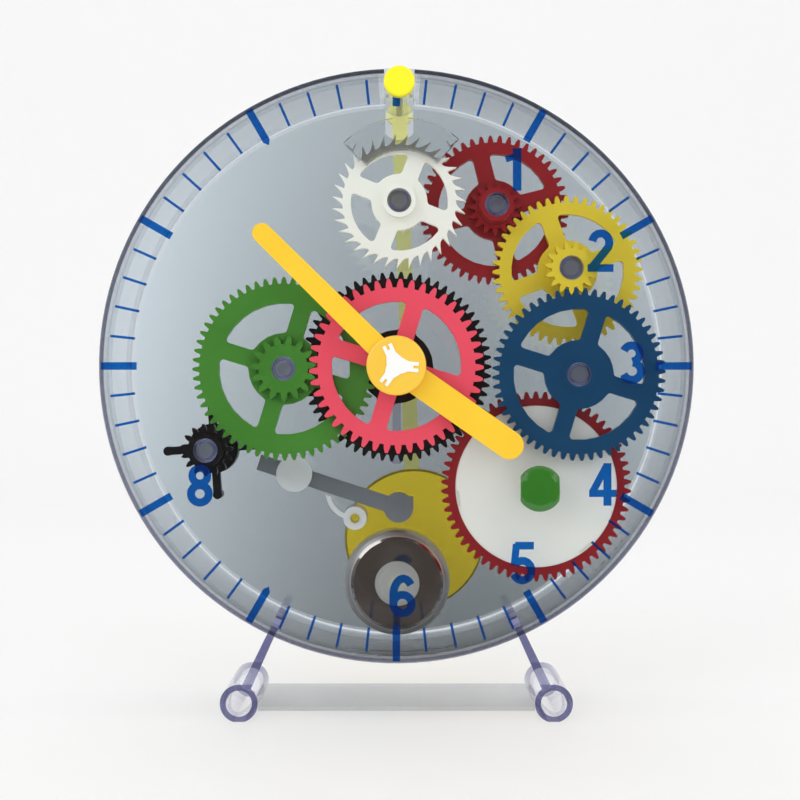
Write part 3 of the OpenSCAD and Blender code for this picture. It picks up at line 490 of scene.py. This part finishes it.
def radial_mark(degrees, inner, outer, width, tip=0.0):
    """A bar that points to the hub, at an angle clockwise from twelve."""
    turn = math.radians(90 - degrees)
    along = Vector((math.cos(turn), math.sin(turn)))
    half = Vector((-along.y, along.x)) * width / 2
    near, far = along * inner, along * outer
    points = [near - half, far - half, far + half, near + half]
    if tip:
        points.append(along * (inner - tip))
    return [tuple(p) for p in points], [list(range(len(points)))]


def bend(cx, cy, rx, ry, start, end, steps=14):
    """Points along a stretch of an ellipse, angles in degrees."""
    turns = [math.radians(start + (end - start) * i / steps) for i in range(steps + 1)]
    return [(cx + rx * math.cos(t), cy + ry * math.sin(t)) for t in turns]


def loop(cx, cy, rx, ry):
    """A closed eye of a figure."""
    return bend(cx, cy, rx, ry, 0, 360, ROUND_STEPS)[:-1]


def pen_stroke(path, width):
    """Quads along a path, each as wide as the pen."""
    closed = len(path) == ROUND_STEPS
    count = len(path)
    left, right = [], []
    for i, point in enumerate(path):
        before = path[(i - 1) % count] if closed or i else point
        after = path[(i + 1) % count] if closed or i < count - 1 else point
        way = (Vector(after) - Vector(before)).normalized()
        side = Vector((-way.y, way.x)) * width / 2
        left.append(Vector(point) + side)
        right.append(Vector(point) - side)
    quads = []
    for i in range(count if closed else count - 1):
        j = (i + 1) % count
        quads.append([i, count + i, count + j, j])
    return left + right, quads


# Each figure's strokes, a path and a pen width, in figure heights: 0 across is
# the middle, 0 up the foot and 1 the top.
STROKES = {
    "1": [([(0.07, 0), (0.07, 1)], 0.2), ([(0.12, 0.84), (-0.2, 0.74)], 0.15)],
    "2": [
        (bend(0, 0.68, 0.2, 0.225, 170, -25) + [(-0.19, 0.12)], 0.19),
        ([(-0.31, 0.09), (0.3, 0.09)], 0.18),
    ],
    "3": [
        (bend(-0.01, 0.715, 0.19, 0.19, 160, -85), 0.19),
        (bend(0, 0.3, 0.21, 0.205, 85, -160), 0.19),
    ],
    "4": [
        ([(0.1, 0), (0.1, 1)], 0.19),
        ([(-0.33, 0.29), (0.32, 0.29)], 0.17),
        ([(0.07, 0.92), (-0.26, 0.3)], 0.17),
    ],
    "5": [
        ([(-0.17, 0.91), (0.27, 0.91)], 0.18),
        ([(-0.14, 0.95), (-0.19, 0.45)], 0.17),
        (bend(0, 0.325, 0.215, 0.23, 140, -160), 0.19),
    ],
    "6": [
        (loop(0, 0.31, 0.215, 0.215), 0.19),
        (bend(0.02, 0.5, 0.235, 0.405, 40, 180) + [(-0.215, 0.32)], 0.19),
    ],
    "8": [(loop(0, 0.725, 0.18, 0.18), 0.18), (loop(0, 0.3, 0.21, 0.205), 0.19)],
}


def figure_shape(name):
    """The joined strokes of one figure at its place on the dial."""
    across, up = FIGURE_AT[name]
    points, quads = [], []
    for path, width in STROKES[name]:
        edge, pieces = pen_stroke(path, width)
        first = len(points)
        points += [(across + FIGURE_H * p.x, up + FIGURE_H * (p.y - 0.5)) for p in edge]
        quads += [[first + i for i in quad] for quad in pieces]
    return points, quads


ink = blue_ink()
minute_marks = [radial_mark(360 / 60 * i, *MINUTE_MARK) for i in range(60) if i % 5]
printed("minute_marks", minute_marks, ink)
tips = [POINT_L if hour in POINTED_HOURS else 0 for hour in range(12)]
hour_marks = [radial_mark(360 / 12 * hour, *HOUR_MARK, tip) for hour, tip in enumerate(tips)]
printed("hour_marks", hour_marks, ink)
printed("figures", [figure_shape(name) for name in FIGURE_AT], ink)


# ---- Saddle ----
# Clear saddle clipped over the top of the case, where it carries the front end
# of the anchor's arbor.
def uneven(tree, scale, low, high):
    """A tint that drifts between two, as the melt flowed."""
    where = add(tree, "TexCoord")
    flow = add(tree, "TexNoise", {"Scale": scale}, {"Vector": where.outputs["Object"]})
    return blend(tree, step(tree, flow.outputs["Fac"], 0.3, 0.7), low, high)


def saddle_plastic():
    """Nearly colourless plastic."""
    material, tree = fresh("saddle_clear")
    tint = uneven(tree, 40, (0.8536, 0.873, 0.8827, 1), (0.88, 0.9, 0.91, 1))
    close(tree, polished(tree, tint))
    return material


dress("top_bracket", saddle_plastic())


# ---- Winding knob ----
# Glossy green knob with two flats for finger and thumb, pushed on the winding
# arbor in front of the dial.
dress("winding_knob", moulded("knob_green", tone(52, 118, 38), 0.16, 0.04, 0.6))


# ---- Hands and cap ----
# Amber hands pushed on the pipe and the arbor, with a collar between them and
# a round cap in front whose raised three-armed spider is hot-foiled white.
CAP_FACE = -7.6 * MM
SPIDER_H = 0.3 * MM
FOIL_EDGE = 0.02 * MM
amber = moulded("hand_amber", tone(255, 206, 50), 0.3, 0.03, 0.2)


def foiled_cap():
    """Amber plastic, with white foil on the raised spider."""
    material, tree = fresh("cap_amber_foiled")
    where, split = place_of(tree)
    edge = DIAL_Y + CAP_FACE - SPIDER_H / 2
    foil = step(tree, split["Y"], edge + FOIL_EDGE, edge - FOIL_EDGE)
    flow = add(tree, "TexNoise", {"Scale": 60, "Detail": 3}, {"Vector": where.outputs["Object"]})
    warm = blend(tree, flow.outputs["Fac"], tone(250, 198, 60), tone(255, 210, 72))
    plastic = add(tree, "BsdfPrincipled", {"IOR": 1.5, "Coat Weight": 0.2, "Coat Roughness": 0.08})
    tree.links.new(blend(tree, foil, warm, (0.97, 0.97, 0.94, 1)), plastic.inputs["Base Color"])
    tree.links.new(step(tree, foil, 0, 1, 0.3, 0.2), plastic.inputs["Roughness"])
    close(tree, plastic.outputs[0])
    return material


for node in ("hour_hand", "hand_collar", "minute_hand"):
    dress(node, amber)
dress("hub_cap", foiled_cap())


# ---- Feet and cross-bar ----
# Clear tubes with a thin leg and a tongue that plug into the case. The cut
# ends are lilac, the sides nearly colourless, and a plain bar ties the two.
TUBE_TOP = 12.4 * MM
TONGUE_FROM = 29 * MM
TUBE_END = (0.2, 0.2, 0.38, 1)


def foot_plastic():
    """Lilac end faces, darkest on the tube and palest on the tongue, and pale
    sides."""
    material, tree = fresh("foot_clear_lilac")
    where, split = place_of(tree)
    tube = step(tree, split["Z"], TUBE_TOP, TUBE_TOP - 2 * SOFT_EDGE)
    tongue = step(tree, split["Z"], TONGUE_FROM, TONGUE_FROM + 2 * MM)
    leg = uneven(tree, 80, (0.4, 0.4, 0.57, 1), (0.44, 0.44, 0.6, 1))
    lilac = blend(tree, tongue, blend(tree, tube, leg, TUBE_END), (0.75, 0.75, 0.86, 1))
    close(tree, polished(tree, blend(tree, end_faces(tree, where), (0.93, 0.93, 0.96, 1), lilac)))
    return material


def bar_plastic():
    """Nearly colourless plastic, with painted shade that makes it greyer on top and underneath."""
    material, tree = fresh("bar_clear")
    where = add(tree, "TexCoord")
    face = uneven(tree, 40, (0.79, 0.8, 0.81, 1), (0.83, 0.84, 0.85, 1))
    # The top and bottom faces carry painted shade.
    painted_shade_edges = end_faces(tree, where, "Z")
    close(tree, polished(tree, blend(tree, painted_shade_edges, face, (0.6, 0.62, 0.63, 1))))
    return material


foot_clear = foot_plastic()
for node in ("left_foot", "right_foot"):
    dress(node, foot_clear)
dress("foot_bar", bar_plastic())


# ---- Table and light ----
# Plain pale sheet that curves up behind the clock, in an even white room that
# is dark behind the camera, with soft lights from the left and the right.
DARK_FROM = -0.115
DARK_EDGE = 0.01
DARK_WAY = -0.75
BRIGHT_WAY = -0.1
DARK_ROOM = (0.07, 0.055, 0.05, 1)
PAINTED_REFLECTION_DARK = (0.06, 0.05, 0.045, 1)
BRIGHT_SIDES = (0.9, 0.9, 0.9, 1)
SWEEP_BACK = 0.9
SWEEP_R = 0.6
SWEEP_TOP = 2.0
SWEEP_HALF_W = 3.0
SWEEP_STEPS = 16
LIGHTS_AIM = (0, 0, 0.1)


def sheet_paper():
    """Pale matt paper. Where the clock mirrors the part in front of it, a painted
    reflection makes it about as dark as the room behind the camera."""
    material = moulded("sheet_pale", [0.97, 0.97, 0.97, 1], 0.6, 0.003)
    tree = material.node_tree
    paper = base_of(tree)
    pale = paper.inputs["Base Color"].links[0].from_socket
    _, split = place_of(tree)
    front = step(tree, split["Y"], DARK_FROM, DARK_FROM - DARK_EDGE)
    # Painted reflection: the front of the sheet is dark only to mirror rays.
    mirrored = math_of(tree, "MULTIPLY", front, add(tree, "LightPath").outputs["Is Glossy Ray"])
    tree.links.new(blend(tree, mirrored, pale, PAINTED_REFLECTION_DARK), paper.inputs["Base Color"])
    return material


def sweep():
    """The sheet, flat under the clock and curved up behind it."""
    turns = [math.pi / 2 * i / SWEEP_STEPS for i in range(SWEEP_STEPS + 1)]
    line = [(-SWEEP_HALF_W, 0.0)]
    line += [(SWEEP_BACK + SWEEP_R * math.sin(t), SWEEP_R * (1 - math.cos(t))) for t in turns]
    line.append((SWEEP_BACK + SWEEP_R, SWEEP_TOP))
    verts = [(side * SWEEP_HALF_W, y, z) for y, z in line for side in (-1, 1)]
    faces = [[2 * i, 2 * i + 1, 2 * i + 3, 2 * i + 2] for i in range(len(line) - 1)]
    mesh = bpy.data.meshes.new("table")
    mesh.from_pydata(verts, [], faces)
    for face in mesh.polygons:
        face.use_smooth = True
    table = bpy.data.objects.new("table", mesh)
    bpy.context.scene.collection.objects.link(table)
    table.data.materials.append(sheet_paper())


def room():
    """The even light from all round, and what polished pieces mirror of it."""
    world = bpy.data.worlds.new("room")
    world.use_nodes = True
    tree = world.node_tree
    tree.nodes.clear()
    path = add(tree, "LightPath")
    way = add(tree, "SeparateXYZ", links={"Vector": add(tree, "TexCoord").outputs["Generated"]})
    sides = step(tree, way.outputs["Y"], DARK_WAY, BRIGHT_WAY)
    mirrored = blend(tree, sides, DARK_ROOM, BRIGHT_SIDES)
    seen = math_of(tree, "MAXIMUM", path.outputs["Is Camera Ray"], path.outputs["Is Transmission Ray"])
    lit = blend(tree, seen, (0.97, 0.97, 0.97, 1), (0.94, 0.94, 0.94, 1))
    colour = blend(tree, path.outputs["Is Glossy Ray"], lit, mirrored)
    sky = add(tree, "Background", {"Strength": 1.0}, {"Color": colour})
    add(tree, "OutputWorld", links={"Surface": sky.outputs[0]})
    bpy.context.scene.world = world


def soft_light(name, place, size, power):
    """A square area light aimed at the clock."""
    light = bpy.data.objects.new(name, bpy.data.lights.new(name, "AREA"))
    light.data.size = size
    light.data.energy = power
    light.location = place
    aim = Vector(LIGHTS_AIM) - Vector(place)
    light.rotation_euler = aim.to_track_quat("-Z", "Y").to_euler()
    bpy.context.scene.collection.objects.link(light)


sweep()
room()
soft_light("key", (-0.7, -0.9, 0.7), 0.6, 1.6)
soft_light("fill", (0.8, -0.7, 0.5), 0.4, 0.7)


# ---- Camera ----
# Square to the dial, a little below its centre, and close enough that the
# deeper layers draw in towards the middle.
CAMERA_X = 1.2 * MM
CAMERA_Z = 106 * MM
CAMERA_DISTANCE = 420 * MM
SENSOR_W = 36
LENS = 57.4
CLIP_FROM = 10 * MM
camera = bpy.data.objects.new("camera", bpy.data.cameras.new("camera"))
bpy.context.scene.collection.objects.link(camera)
camera.location = (CAMERA_X, DIAL_Y - CAMERA_DISTANCE, CAMERA_Z)
camera.rotation_euler = (math.radians(90), 0, 0)
camera.data.sensor_width = SENSOR_W
camera.data.lens = LENS
camera.data.clip_start = CLIP_FROM
bpy.context.scene.camera = camera
bpy.context.scene.view_settings.view_transform = "Standard"
